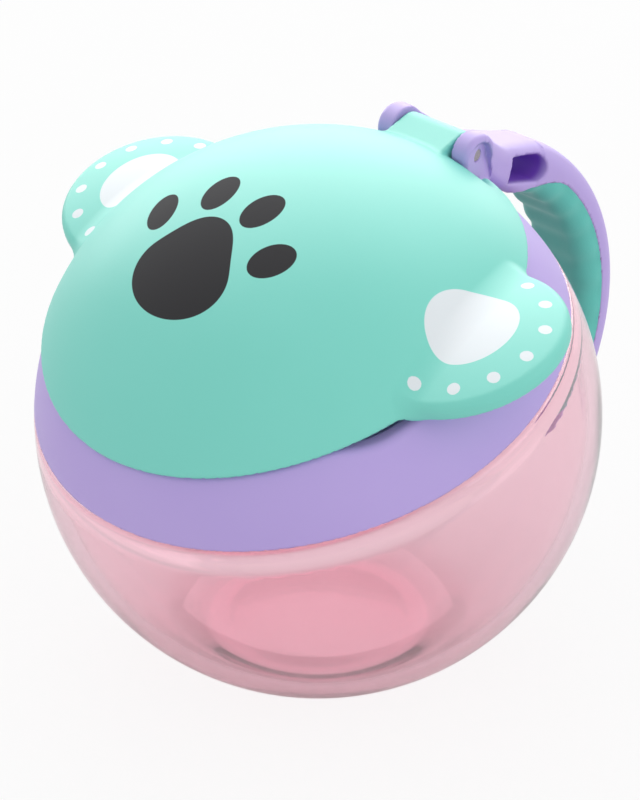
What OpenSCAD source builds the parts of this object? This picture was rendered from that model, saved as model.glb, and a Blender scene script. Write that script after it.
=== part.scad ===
// Toddler snack cup: a clear ball-shaped bowl, a screw-on collar with a soft-gripped carrying
// handle, a soft ring of flaps that a small hand pushes through, and a hinged domed cover with
// two ear lobes. The bowl, the collar and the cover share one ball, whose mouth leans forward.
// The origin is at the middle of the flat base, with +Z up, the front at -Y and the handle at +Y.

/* [Ball] */
// Outer radius of the ball that the bowl and the collar follow
ball_r = 46; // [44:0.5:50]
// Radius of the flat base
base_r = 18.5; // [16:0.5:22]
// Forward lean of the mouth, in degrees
mouth_tilt = 18; // [12:1:22]

/* [Bowl] */
// Wall of the clear bowl
bowl_wall = 2.4; // [2:0.1:3]
// Thickness of the bowl's flat floor
floor_t = 2.6; // [2:0.1:4]
// Height of the bowl's shoulder above the ball's centre, along the mouth's axis
shoulder_z = 13.4; // [11:0.2:15]
// Height of the neck that carries the screw thread
neck_h = 7; // [6:0.2:8]
// How far the neck's outside lies within the ball's radius
neck_inset = 9.2; // [8.6:0.1:10.4]
// Wall of the neck
neck_wall = 2.2; // [1.8:0.1:3]

/* [Collar] */
// Height of the collar's upper edge above the ball's centre, at the two sides
rim_side_z = 26.4; // [26:0.1:27]
// The same height at the front and the back, where the edge dips
rim_front_z = 24; // [23.6:0.1:24.4]
// Gap between the collar's lower edge and the bowl's shoulder
seam_gap = 0.3; // [0.2:0.1:0.6]
// Running gap between the neck and the collar's bore
neck_gap = 0.35; // [0.3:0.05:0.5]
// Thickness of the deck that the opening is cut in
deck_t = 1.9; // [1.5:0.1:2.2]
// How far the opening in the deck lies within the neck's outside
mouth_inset = 6.3; // [5.6:0.1:7.4]
// Room between the cover's stiffening ring and the well above the deck
well_room = 1.4; // [1:0.1:1.8]
// Radius of the finger scoops under the cover's edge
scoop_r = 20; // [14:0.5:24]
// Depth of the finger scoops
scoop_depth = 1.5; // [0.8:0.1:2]
// How far the rim has already dipped where the finger scoops lie
scoop_sink = 0.5; // [0.2:0.1:0.8]
// Bearing of the finger scoops from the sides, in degrees towards the front
scoop_bearing = 23; // [20:1:30]

/* [Handle] */
// Room for the fingers between the ball's back and the bar
finger_room = 13.1; // [11:0.1:16]
// Height of the handle's bend centre above the ball's centre
bend_z = 1.6; // [-1:0.2:4]
// Radius of the handle's bend, to the middle of the bar
bend_r = 32.2; // [30:0.2:34]
// Angle at which the free lower end stops
bend_end = -38; // [-46:1:-30]
// Width of the bar along the bend
bar_w = 13; // [11:0.2:15]
// Thickness of the bar along the bend
bar_t = 8.4; // [7:0.2:9]
// Corner radius of the bar
bar_round = 3.2; // [2:0.1:3.4]
// Width of the root across the two knuckles
root_w = 19.6; // [18.6:0.2:21]
// Corner radius of the root, which makes its top look crowned
root_round = 4.2; // [3:0.1:4.4]
// Thickness of the root at the hinge axis
hinge_t = 4.4; // [3.6:0.2:6]
// Length over which the root narrows from the hinge
narrow_l = 14; // [10:0.5:16]
// Thickness of the root where it has narrowed
narrow_t = 9.4; // [8.6:0.1:9.8]
// Thickness of the bar where the root runs into the bend
root_t = 10.8; // [9.8:0.1:11]
// Length of bend over which the root's thickness dies away
thin_l = 8; // [5:0.5:12]
// Distance of the strap slot's middle before the bend
slot_before = 4; // [3:0.2:6]
// Height of the strap slot's middle over the bar's middle line
slot_rise = 0.2; // [0:0.1:0.6]
// Length of the strap slot, square in front and round behind
slot_l = 9.6; // [8:0.2:10]
// Height of the strap slot
slot_h = 5.1; // [5.1:0.1:5.6]
// Fall of the strap slot towards the back, in degrees
slot_fall = 15; // [10:1:20]

/* [Grip] */
// Angle at which the soft grip starts under the root
grip_top = 74; // [66:1:76]
// Angle at which the soft grip ends
grip_end = -38; // [-42:1:-24]
// Strip of bare bar between the strap slot and the soft grip
grip_drop = 0.65; // [0.5:0.05:1.5]
// Fall of the grip's upper edge towards the back, in degrees
grip_fall = 13; // [8:1:18]
// Wall of the soft grip round the bar's core
grip_wall = 2.2; // [1.6:0.1:2.6]
// Gap at which the soft grip is bonded to the bar
grip_bond = 0.05; // [0.03:0.01:0.1]
// Number of grooves across the grip
groove_n = 8; // [5:1:10]
// Radius of a groove's round bottom
groove_r = 1.1; // [0.8:0.1:1.3]
// Depth of a groove
groove_depth = 0.5; // [0.3:0.1:0.8]

/* [Hinge] */
// How far the hinge axis stands outside the ball
hinge_rise = 2.4; // [1.8:0.1:3]
// Height of the hinge axis above the ball's centre, along the mouth's axis
hinge_z = 30; // [29.6:0.1:30.6]
// Outer radius of the knuckles
knuckle_r = 3.5; // [3.2:0.1:3.8]
// Width of the cover's tongue between the knuckles
tongue_w = 12.4; // [11:0.2:13]
// Gap on each side of the tongue
tongue_gap = 0.3; // [0.2:0.05:0.5]
// Gap round a knuckle in the cover
knuckle_gap = 0.5; // [0.4:0.05:0.7]
// Radius of the steel hinge pin
pin_r = 1; // [0.8:0.1:1.3]
// Half width, height along the mouth's axis and depth in the ring of the web under the knuckles
web_x = 7.8; // [7:0.2:9]
web_z = 20.8; // [20:0.2:22]
web_sink = 0.9; // [0.6:0.1:1.4]
// How far the cover's tongue lies below the tops of the knuckles
tongue_dip = 0.5; // [0.2:0.1:0.8]
// Clearance round the pin in the collar's knuckles
pin_seat = 0.02; // [0.01:0.01:0.03]
// Running clearance round the pin in the cover's tongue
pin_run = 0.06; // [0.04:0.01:0.08]
// Length over which the tongue runs forward into the dome
tongue_l = 8; // [6:0.5:9]
// Angle at which the open cover's tongue meets the handle
cover_open = 135; // [110:5:140]
// Depth of the pocket in the root's side that the pin is driven from
pin_pocket = 0.65; // [0.4:0.05:1]
// Radius of the pocket round the pin
pocket_r = 2.35; // [1.8:0.05:2.6]
// Distance of the pocket's straight rear edge behind the pin
pocket_back = 2.2; // [1.6:0.1:2.2]
// Lean of the pocket's floor towards the back, in degrees
pocket_lean = 14; // [8:1:18]
// Lean of the pocket's floor downwards, in degrees
pocket_dip = 4; // [0:1:8]
// Steepness of the pocket's rear edge, in degrees
pocket_fall = 67; // [60:1:75]
// How far the pin's ends lie below the pockets' floors
pin_inset = 0.35; // [0.1:0.05:0.6]

/* [Cover] */
// How far the cover stands proud of the ball
cover_step = 1; // [0.6:0.1:1.6]
// Wall of the cover
cover_wall = 2; // [1.6:0.1:2.4]
// Gap between the cover's rim and the collar
rim_gap = 0.3; // [0.2:0.05:0.5]
// How far the cover's stiffening ring lies within the neck's outside
skirt_inset = 2.2; // [1.8:0.1:3]
// Wall of that ring
skirt_wall = 1.4; // [1:0.1:2]
// Gap between that ring and the collar's deck
skirt_gap = 0.3; // [0.2:0.1:0.8]
// Radius of an ear lobe
ear_r = 16; // [13:0.2:18]
// Thickness of an ear lobe
ear_t = 2.8; // [2:0.1:3.4]
// Radius that an ear lobe is dished to
ear_dish_r = 45; // [38:1:60]
// How far an ear's middle lies within the ball's radius, from the plane of symmetry
ear_inset = 11.6; // [10:0.2:14]
// Distance of an ear's middle behind the mouth's axis
ear_y = 5.5; // [2:0.5:8]
// Height of an ear's edge above the ball's centre
ear_z = 26.6; // [26:0.1:28]
// Upward lean of an ear, in degrees
ear_lean = 5; // [2:0.5:8]
// Gap between an ear and the collar under it
ear_gap = 0.4; // [0.3:0.1:0.8]

/* [Flaps] */
// Number of soft flaps
flap_n = 8; // [8:1:8]
// Thickness of a flap
flap_t = 1.2; // [0.9:0.1:1.4]
// Width of the slits between flaps
slit_w = 0.5; // [0.4:0.1:0.8]
// Gap at a flap's bending line
bend_gap = 0.25; // [0.2:0.05:0.3]
// Radius of the small hole where the slits meet
eye_r = 1.8; // [1.2:0.1:1.9]
// Breadth of the ring inside its lip, up to the flaps' bending lines
flap_land = 2.75; // [2.4:0.05:3.6]
// Thickness of the ring's flange, which seals the neck
flange_t = 1.5; // [1.2:0.1:1.8]
// How far the flange lies within the neck's outside
flange_inset = 0.8; // [0.4:0.1:1.4]
// Gap between the flange and the pieces above and below it
flange_gap = 0.1; // [0.05:0.05:0.2]
// Gap between the ring's lip and the opening in the deck
lip_gap = 0.15; // [0.1:0.05:0.3]
// Wall of the ring's lip
lip_wall = 2; // [1.4:0.1:2.4]
// Height of the ring's lip above the deck
lip_rise = 0.6; // [0.3:0.1:0.8]

/* [Hidden] */
$fn = 96;
rose = [0.96, 0.73, 0.78, 0.6];
lavender = [0.69, 0.60, 0.90];
mint = [0.50, 0.86, 0.79];
deep_mint = [0.36, 0.71, 0.66];
milky = [0.90, 0.93, 0.92];
steel = [0.62, 0.60, 0.64];
eps = 0.01;
far = 3 * ball_r;
// Overlap of pieces of one moulding that are drawn apart
overlap = 1;
// How far a hulled stretch stays inside the round one that it meets
shave = 0.2;
// Height of the ball's centre over the flat base
ball_z = sqrt(ball_r * ball_r - base_r * base_r);
// Radii that step inwards from the neck
neck_r = ball_r - neck_inset;
flange_r = neck_r - flange_inset;
mouth_r = neck_r - mouth_inset;
skirt_r = neck_r - skirt_inset;
well_r = skirt_r + well_room;
lip_r = mouth_r - lip_gap;
flap_root = lip_r - lip_wall - flap_land;
// Levels along the mouth's axis, counted from the ball's centre
neck_top = shoulder_z + neck_h;
flange_low = neck_top + flange_gap;
flange_top = flange_low + flange_t;
deck_low = flange_top + flange_gap;
deck_top = deck_low + deck_t;
flap_z = flange_low + flap_t / 2;
// The rim is cut by a wide round surface that lies across the mouth from side to side
rim_y = sqrt(ball_r * ball_r - rim_front_z * rim_front_z);
rim_dip = rim_side_z - rim_front_z;
arch_r = (rim_y * rim_y + rim_dip * rim_dip) / (2 * rim_dip);
cover_r = ball_r + cover_step;
inner_cover_r = cover_r - cover_wall;
ear_x = ball_r - ear_inset;
// The hinge axis behind the mouth's axis, and in the upright frame from the ball's centre
hinge_y = sqrt(pow(ball_r + hinge_rise, 2) - hinge_z * hinge_z);
axis_y = hinge_y * cos(mouth_tilt) - hinge_z * sin(mouth_tilt);
axis_z = hinge_y * sin(mouth_tilt) + hinge_z * cos(mouth_tilt);
// The bend's centre, and the straight root that runs from the hinge axis and touches the bend
bend_y = ball_r + finger_room + bar_t / 2 - bend_r;
axis_off = norm([axis_y - bend_y, axis_z - bend_z]);
bend_top = atan2(axis_z - bend_z, axis_y - bend_y) - acos(bend_r / axis_off);
root_len = sqrt(axis_off * axis_off - bend_r * bend_r);
root_fall = 90 - bend_top;
// The bend runs on under the root until it is inside the ball
bend_start = bend_top + 21;
thin_angle = thin_l / bend_r * 180 / PI;
slot_at = root_len - slot_before;
slot_y = axis_y + slot_at * cos(root_fall);
slot_z = axis_z - slot_at * sin(root_fall) + slot_rise;
// Angle that sets the grip's ends back by its bonding gap
bond_angle = grip_bond / bend_r * 180 / PI;
pin_len = root_w - 2 * (pin_pocket + pin_inset);
// The cover's rim behind the hinge swings through this radius
rim_back_y = sqrt(cover_r * cover_r - pow(rim_front_z + rim_gap, 2));
rim_swing = norm([rim_back_y - hinge_y, hinge_z - rim_front_z - rim_gap]);
// Room beside the root for the swinging rim
swing_side = 2;

// Moves children from the ball's centre to the upright frame of the whole cup
module at_ball() translate([0, 0, ball_z]) children();

// Leans children forward with the mouth
module at_mouth() at_ball() rotate([mouth_tilt, 0, 0]) children();

// Everything below the rim's dipping edge, raised by lift
module below_rim(lift = 0)
    translate([0, 0, rim_side_z - arch_r]) rotate([0, 90, 0])
        cylinder(r = arch_r + lift, h = far, center = true, $fn = 720);

// A slab between two levels of the mouth's axis
module level(low, high) translate([-far / 2, -far / 2, low]) cube([far, far, high - low]);

// A rod that lies along X with its middle at y, z
module cross_rod(r, len, y = 0, z = 0, fn = $fn)
    translate([0, y, z]) rotate([0, 90, 0]) cylinder(r = r, h = len, center = true, $fn = fn);

// ---- Bowl: one clear moulding, a cut ball with a threaded neck and a flat floor ----
module bowl() {
    color(rose) at_ball() difference() {
        union() {
            difference() {
                sphere(r = ball_r, $fn = 144);
                rotate([mouth_tilt, 0, 0]) level(shoulder_z, far);
            }
            rotate([mouth_tilt, 0, 0]) cylinder(r = neck_r, h = neck_top);
        }
        difference() {
            sphere(r = ball_r - bowl_wall, $fn = 144);
            translate([-far / 2, -far / 2, -ball_z - far + floor_t]) cube(far);
            rotate([mouth_tilt, 0, 0]) difference() {
                level(shoulder_z - bowl_wall, far);
                cylinder(r = neck_r - neck_wall, h = far);
            }
        }
        rotate([mouth_tilt, 0, 0]) translate([0, 0, shoulder_z - bowl_wall - eps])
            cylinder(r = neck_r - neck_wall, h = neck_h + bowl_wall + overlap);
        translate([-far / 2, -far / 2, -ball_z - far]) cube(far);
    }
}

// ---- Flap ring: the soft ring that seals the neck and carries the flaps ----
module flap_ring() {
    color(milky) at_mouth() difference() {
        union() {
            translate([0, 0, flange_low]) cylinder(r = flange_r, h = flange_t);
            translate([0, 0, flange_low])
                cylinder(r = lip_r, h = deck_top + lip_rise - flange_low);
        }
        translate([0, 0, flange_top]) cylinder(r = lip_r - lip_wall, h = far);
        rotate([0, 0, 180 / flap_n]) translate([0, 0, flange_low - overlap])
            cylinder(r = (flap_root + flap_t / 2 + bend_gap) / cos(180 / flap_n), h = far, $fn = flap_n);
    }
}

// One flap: a wedge between two slits that bends about the rod along its root
module flap(i) {
    half = 180 / flap_n;
    half_w = flap_root * tan(half) - slit_w / 2 / cos(half);
    color(milky) at_mouth() rotate([0, 0, (i - 1) * 360 / flap_n]) difference() {
        union() {
            translate([0, 0, flap_z - flap_t / 2]) linear_extrude(flap_t)
                polygon([[slit_w, 0], [flap_root, half_w], [flap_root, -half_w]]);
            translate([flap_root, 0, flap_z]) rotate([90, 0, 0])
                cylinder(r = flap_t / 2, h = 2 * half_w, center = true, $fn = 24);
        }
        translate([0, 0, flap_z - flap_t]) cylinder(r = eye_r, h = 2 * flap_t);
    }
}

// ---- Collar: screw ring, hinge knuckles and carrying handle in one moulding ----
// Room for the shut cover, and for its rim behind the hinge as it swings
module cover_room() intersection() {
    sphere(r = cover_r + rim_gap, $fn = 144);
    union() {
        difference() {
            level(0, far);
            below_rim();
        }
        cross_rod(rim_swing + rim_gap, root_w + 2 * swing_side, hinge_y, hinge_z);
    }
}

module collar_ring() {
    difference() {
        intersection() {
            sphere(r = ball_r, $fn = 144);
            level(shoulder_z + seam_gap, far);
            below_rim();
        }
        translate([0, 0, shoulder_z]) cylinder(r = neck_r + neck_gap, h = deck_low - shoulder_z);
        cylinder(r = mouth_r, h = far);
        translate([0, 0, deck_top]) cylinder(r = well_r, h = far);
        for (side = [-1, 1]) rotate([0, 0, -90 + side * (90 - scoop_bearing)])
            translate([well_r + overlap, 0, rim_side_z + scoop_r - scoop_depth - scoop_sink])
                rotate([0, 90, 0]) cylinder(r = scoop_r, h = cover_r - well_r);
        cover_room();
    }
}

// Section of the bar, with its thickness along X and its width along Y
module bar_section(t, w, corner) {
    square([t - 2 * corner, w], center = true);
    square([t, w - 2 * corner], center = true);
    for (sx = [-1, 1], sy = [-1, 1])
        translate([sx * (t / 2 - corner), sy * (w / 2 - corner)]) circle(r = corner, $fn = 48);
}

// Turns a revolve about Z into one about the handle's bend axis, with angles from +Y up
module about_bend() translate([0, bend_y, bend_z]) rotate([90, 0, 90]) children();

// A stretch of the bend with the children's section, from one angle to the other
module bend(from, to) about_bend() rotate([0, 0, from])
    rotate_extrude(angle = to - from, $fn = 144) translate([bend_r, 0]) children();

// The four corners of a thin slice through the bar at the children's origin, for the hulls
module slice(t, w) {
    corner = min(root_round, t / 2 - 0.3);
    for (sx = [-1, 1], sz = [-1, 1])
        translate([sx * (w / 2 - corner), 0, sz * (t / 2 - corner)])
            rotate([90, 0, 0]) cylinder(r = corner, h = 0.2, center = true, $fn = 32);
}

// A slice across the straight root, at a distance from the hinge axis
module root_slice(at, t, w)
    translate([0, axis_y + at * cos(root_fall), axis_z - at * sin(root_fall)])
        rotate([-root_fall, 0, 0]) slice(t, w);

// The whole bar: a straight root that narrows from the hinge, a bend and a round free end
module bar() {
    bend(bend_end, bend_start) bar_section(bar_t, bar_w, bar_round);
    about_bend() rotate([0, 0, bend_end]) translate([bend_r, 0, 0]) rotate([0, 0, 180])
        rotate_extrude(angle = 180) intersection() {
            bar_section(bar_t, bar_w, bar_round);
            translate([0, -bar_w]) square(2 * bar_w);
        }
    hull() {
        root_slice(0, hinge_t, root_w);
        root_slice(narrow_l, narrow_t, bar_w);
    }
    hull() {
        root_slice(narrow_l, narrow_t, bar_w);
        root_slice(root_len, root_t, bar_w);
    }
    hull() {
        root_slice(root_len, root_t, bar_w);
        translate([0, bend_y, bend_z]) rotate([bend_top - thin_angle - 90, 0, 0])
            translate([0, 0, bend_r]) slice(bar_t - 2 * shave, bar_w - 2 * shave);
    }
}

// Everything over the slanting line at which the soft grip stops below the strap slot
module over_grip(back = 0) translate([0, slot_y, slot_z]) rotate([-grip_fall, 0, 0])
    translate([-far / 2, -far / 2, -slot_h / 2 - grip_drop - back]) cube(far);

// Web that carries both knuckles on the ring behind the cover's rim
module web() hull() {
    cross_rod(knuckle_r - shave, root_w - 2 * shave, hinge_y, hinge_z, 48);
    cross_rod(1, 2 * web_x, sqrt(ball_r * ball_r - web_x * web_x - web_z * web_z) - web_sink, web_z, 48);
}

// Room for the soft grip round the bar's inner half, which leaves a narrower core
module grip_room() difference() {
    bend(grip_end, grip_top) difference() {
        translate([-bar_t, -bar_w]) square([bar_t, 2 * bar_w]);
        translate([-bar_t / 2 + grip_wall, -bar_w / 2 + grip_wall])
            square([bar_t, bar_w - 2 * grip_wall]);
    }
    over_grip();
}

// Strap slot through the bar, square in front and round behind
module strap_slot() translate([0, slot_y, slot_z]) rotate([-slot_fall, 0, 0]) rotate([90, 0, 90])
    linear_extrude(far, center = true) {
        translate([-slot_l / 2, -slot_h / 2]) square([slot_l - slot_h / 2, slot_h]);
        translate([slot_l / 2 - slot_h / 2, 0]) circle(r = slot_h / 2);
    }

// Pocket that the pin is driven from: round over the pin, and open to the front and downwards
module pocket() translate([root_w / 2 - pin_pocket, axis_y, axis_z])
    rotate([0, pocket_dip, pocket_lean]) rotate([90, 0, 90]) linear_extrude(far) {
        circle(r = pocket_r);
        rotate(-pocket_fall) translate([0, -far]) square([far, far + pocket_back]);
    }

module collar() {
    color(lavender) difference() {
        union() {
            at_mouth() collar_ring();
            difference() {
                union() {
                    difference() {
                        union() {
                            at_ball() bar();
                            at_mouth() web();
                        }
                        at_mouth() sphere(r = ball_r - overlap);
                        at_mouth() cover_room();
                    }
                    at_mouth() cross_rod(knuckle_r, root_w, hinge_y, hinge_z);
                }
                for (side = [0, 1]) at_ball() mirror([side, 0, 0]) pocket();
            }
        }
        // Room for the cover's tongue between the knuckles, shut and open
        at_mouth() translate([0, hinge_y, hinge_z]) rotate([90, 0, 90])
            linear_extrude(tongue_w + 2 * tongue_gap, center = true) {
                circle(r = knuckle_r + knuckle_gap);
                rotate(180 - cover_open) translate([0, -knuckle_r - 1.2 * knuckle_gap])
                    square([2 * tongue_l, knuckle_r]);
            }
        at_mouth() cross_rod(pin_r + pin_seat, far, hinge_y, hinge_z);
        at_ball() grip_room();
        at_ball() strap_slot();
    }
}

// ---- Handle grip: soft overmoulding round the bar's inner half ----
module handle_grip() {
    color(deep_mint) at_ball() difference() {
        bend(grip_end + bond_angle, grip_top - bond_angle) difference() {
            intersection() {
                bar_section(bar_t, bar_w, bar_round);
                translate([-bar_t, -bar_w]) square([bar_t - grip_bond, 2 * bar_w]);
            }
            translate([-bar_t / 2 + grip_wall - grip_bond, -bar_w / 2 + grip_wall - grip_bond])
                square([bar_t, bar_w - 2 * grip_wall + 2 * grip_bond]);
        }
        over_grip(grip_bond);
        for (i = [1 : groove_n])
            about_bend() rotate([0, 0, grip_end + (grip_top - grip_end) * i / (groove_n + 1)])
                translate([bend_r - bar_t / 2 - groove_r + groove_depth, 0, 0])
                    cylinder(r = groove_r, h = 2 * bar_w, center = true, $fn = 32);
    }
}

// ---- Hinge pin: a plain steel dowel ----
module hinge_pin() {
    color(steel) at_mouth() cross_rod(pin_r, pin_len, hinge_y, hinge_z);
}

// ---- Cover: one domed moulding with two ear lobes and a hinge tongue ----
module ear(side) {
    rise = ear_dish_r - sqrt(ear_dish_r * ear_dish_r - ear_r * ear_r);
    translate([side * ear_x, ear_y, ear_z]) rotate([0, -side * ear_lean, 0]) intersection() {
        translate([0, 0, rise - ear_dish_r]) difference() {
            sphere(r = ear_dish_r + ear_t / 2, $fn = 144);
            sphere(r = ear_dish_r - ear_t / 2, $fn = 144);
        }
        cylinder(r = ear_r, h = 3 * ear_t, center = true);
    }
}

module cover() {
    color(mint) at_mouth() difference() {
        union() {
            difference() {
                sphere(r = cover_r, $fn = 144);
                below_rim(rim_gap);
            }
            difference() {
                union() for (side = [-1, 1]) ear(side);
                sphere(r = ball_r + ear_gap);
            }
            difference() {
                hull() {
                    cross_rod(knuckle_r - tongue_dip, tongue_w, hinge_y, hinge_z, 48);
                    cross_rod(knuckle_r - tongue_dip, tongue_w, hinge_y - tongue_l, hinge_z, 48);
                }
                below_rim(rim_gap);
            }
        }
        difference() {
            sphere(r = inner_cover_r, $fn = 144);
            difference() {
                cylinder(r = skirt_r, h = far);
                cylinder(r = skirt_r - skirt_wall, h = far);
            }
        }
        level(-far, deck_top + skirt_gap);
        for (side = [-1, 1]) translate([side * (tongue_w + root_w / 2 + tongue_gap) / 2, 0, 0])
            cross_rod(knuckle_r + knuckle_gap, root_w / 2 + tongue_gap, hinge_y, hinge_z);
        cross_rod(pin_r + pin_run, far, hinge_y, hinge_z);
    }
}

bowl();
flap_ring();
flap(1);  // flap_1
flap(2);  // flap_2
flap(3);  // flap_3
flap(4);  // flap_4
flap(5);  // flap_5
flap(6);  // flap_6
flap(7);  // flap_7
flap(8);  // flap_8
collar();
handle_grip();
hinge_pin();
cover();
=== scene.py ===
"""A toddler's snack cup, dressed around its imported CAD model.

A clear rose bowl, a soft ring of eight flaps, a lavender screw collar with a carrying handle, a
soft mint grip, a steel hinge pin and a mint domed cover with two ear lobes. Sizes are in
millimetres and become metres as each mesh is made."""

import math

import bpy
import numpy as np
from mathutils import Matrix, Vector


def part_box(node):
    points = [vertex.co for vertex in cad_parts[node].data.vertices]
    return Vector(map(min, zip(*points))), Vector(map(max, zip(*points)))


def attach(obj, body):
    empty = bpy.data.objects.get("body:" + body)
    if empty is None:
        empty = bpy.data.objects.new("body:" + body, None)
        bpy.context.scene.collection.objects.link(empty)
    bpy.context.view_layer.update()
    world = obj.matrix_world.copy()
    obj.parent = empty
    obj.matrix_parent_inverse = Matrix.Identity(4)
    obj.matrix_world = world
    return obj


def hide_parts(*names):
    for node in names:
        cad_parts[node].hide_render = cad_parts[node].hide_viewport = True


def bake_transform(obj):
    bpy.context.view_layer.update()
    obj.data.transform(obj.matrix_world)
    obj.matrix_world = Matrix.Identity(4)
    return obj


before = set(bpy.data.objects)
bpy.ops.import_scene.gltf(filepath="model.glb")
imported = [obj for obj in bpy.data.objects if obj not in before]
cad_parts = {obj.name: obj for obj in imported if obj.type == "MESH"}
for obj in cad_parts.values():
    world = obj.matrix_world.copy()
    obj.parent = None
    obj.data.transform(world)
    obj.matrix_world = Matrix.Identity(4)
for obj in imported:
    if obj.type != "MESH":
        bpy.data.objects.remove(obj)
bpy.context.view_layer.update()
MM = 0.001

# ---- Camera, lamps and table: a plain product set-up --------------------------------------------
# The camera stands at the front right, a little above the cup, with a long lens. A white room gives
# most of the light. Soft boxes over the back left and the right shape it, and a wide silk behind
# the cup shows only as its sheen. The table is pale and keeps a soft shadow.
scene = bpy.context.scene
scene.view_settings.view_transform = "Standard"
bowl_low, bowl_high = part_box("bowl")
ball_r = (bowl_high.x - bowl_low.x) / 2 / MM
BASE_R = 18.5
ball_z = math.sqrt(ball_r**2 - BASE_R**2)
CAMERA_BEARING = math.radians(44.9)
CAMERA_HEIGHT = math.radians(29.4)
CAMERA_DISTANCE = 460.0
CAMERA_LENS = 127.3
FRAMING_RIGHT = 0.28
FRAMING_UP = 2.31

camera = bpy.data.objects.new("camera", bpy.data.cameras.new("camera"))
scene.collection.objects.link(camera)
scene.camera = camera
camera.data.sensor_width = 36.0
camera.data.lens = CAMERA_LENS
camera.data.clip_start = 0.01
toward_camera = Vector((
    math.sin(CAMERA_BEARING) * math.cos(CAMERA_HEIGHT),
    -math.cos(CAMERA_BEARING) * math.cos(CAMERA_HEIGHT),
    math.sin(CAMERA_HEIGHT),
))
turn = toward_camera.to_track_quat("Z", "Y")
aim = Vector((0, 0, ball_z)) + turn @ Vector((FRAMING_RIGHT, FRAMING_UP, 0))
camera.rotation_mode = "QUATERNION"
camera.rotation_quaternion = turn
camera.location = (aim + CAMERA_DISTANCE * toward_camera) * MM


def linear(code, alpha=1.0):
    """An sRGB hex colour as the linear values that a shader takes."""
    parts = [int(code[i:i + 2], 16) / 255 for i in (1, 3, 5)]
    return [c / 12.92 if c <= 0.04045 else ((c + 0.055) / 1.055) ** 2.4 for c in parts] + [alpha]


def add(tree, kind, inputs=None, **settings):
    """Adds a node, sets its properties and fills its inputs with values or other nodes' sockets.

    Sockets whose names repeat on a node, such as A and B on a mix, are given by number."""
    made = tree.nodes.new(kind)
    for name, value in settings.items():
        setattr(made, name, value)
    for key, value in (inputs or {}).items():
        if isinstance(value, bpy.types.NodeSocket):
            tree.links.new(value, made.inputs[key])
        else:
            made.inputs[key].default_value = value
    return made


def soft_box(name, place, size, power):
    """A square lamp that faces the cup, with its place and side in metres."""
    lamp = bpy.data.objects.new(name, bpy.data.lights.new(name, "AREA"))
    scene.collection.objects.link(lamp)
    lamp.location = place
    lamp.rotation_mode = "QUATERNION"
    lamp.rotation_quaternion = (Vector(place) - Vector((0, 0, ball_z * MM))).to_track_quat("Z", "Y")
    lamp.data.size = size
    lamp.data.energy = power
    return lamp


soft_box("back_box", (-0.66, 0.66, 0.80), 0.85, 3.6)
soft_box("side_box", (0.90, 0.35, 0.55), 0.70, 1.6)
silk = soft_box("back_silk", (-0.95, 0.80, 1.20), 3.20, 92.0)
silk.visible_diffuse = False
silk.visible_transmission = False

# The room shows as pure white and lights the cup a little less than that
ROOM_LIGHT = 0.86
room = bpy.data.worlds.new("white_room")
scene.world = room
room.use_nodes = True
room.node_tree.nodes.clear()
paths = add(room.node_tree, "ShaderNodeLightPath")
seen = add(room.node_tree, "ShaderNodeMath", {0: paths.outputs["Is Camera Ray"],
                                              1: paths.outputs["Is Glossy Ray"]},
           operation="MAXIMUM")
seen = add(room.node_tree, "ShaderNodeMath", {0: seen.outputs[0],
                                              1: paths.outputs["Is Transmission Ray"]},
           operation="MAXIMUM")
level = add(room.node_tree, "ShaderNodeMapRange", {
    "Value": seen.outputs[0], "To Min": ROOM_LIGHT, "To Max": 1.0})
backdrop = add(room.node_tree, "ShaderNodeBackground", {"Color": (1, 1, 1, 1),
                                                        "Strength": level.outputs[0]})
add(room.node_tree, "ShaderNodeOutputWorld", {"Surface": backdrop.outputs[0]})

# The table lies a hair below the bowl, so that it and the clear base don't share a face. It is
# lifted to white where the camera sees it, and a little where a gloss or a clear wall shows it.
TABLE_SIDE = 6.0
TABLE_TOP = -0.1 * MM
TABLE_LIFT = 0.88
TABLE_LIFT_BEHIND = 0.2
table_mesh = bpy.data.meshes.new("table")
corner = TABLE_SIDE / 2
table_corners = [(-corner, -corner, TABLE_TOP), (corner, -corner, TABLE_TOP),
                 (corner, corner, TABLE_TOP), (-corner, corner, TABLE_TOP)]
table_mesh.from_pydata(table_corners, [], [(0, 1, 2, 3)])
table = bpy.data.objects.new("table", table_mesh)
scene.collection.objects.link(table)
paper = bpy.data.materials.new("matt_white_paper")
paper.use_nodes = True
paper.node_tree.nodes.clear()
paths = add(paper.node_tree, "ShaderNodeLightPath")
behind = add(paper.node_tree, "ShaderNodeMath", {0: paths.outputs["Is Glossy Ray"],
                                                 1: paths.outputs["Is Transmission Ray"]},
             operation="MAXIMUM")
behind = add(paper.node_tree, "ShaderNodeMath", {0: behind.outputs[0], 1: TABLE_LIFT_BEHIND},
             operation="MULTIPLY")
lift = add(paper.node_tree, "ShaderNodeMath", {0: paths.outputs["Is Camera Ray"], 1: TABLE_LIFT,
                                               2: behind.outputs[0]}, operation="MULTIPLY_ADD")
grain = add(paper.node_tree, "ShaderNodeTexNoise", {"Scale": 900.0, "Detail": 3.0})
tone = add(paper.node_tree, "ShaderNodeMapRange", {"Value": grain.outputs[0], "To Min": 0.78,
                                                   "To Max": 0.82})
matt = add(paper.node_tree, "ShaderNodeBsdfDiffuse", {"Color": tone.outputs[0]})
glow = add(paper.node_tree, "ShaderNodeEmission", {"Color": (1, 1, 1, 1), "Strength": 1.0})
both = add(paper.node_tree, "ShaderNodeMixShader", {0: lift.outputs[0], 1: matt.outputs[0],
                                                    2: glow.outputs[0]})
add(paper.node_tree, "ShaderNodeOutputMaterial", {"Surface": both.outputs[0]})
table_mesh.materials.append(paper)

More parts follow.
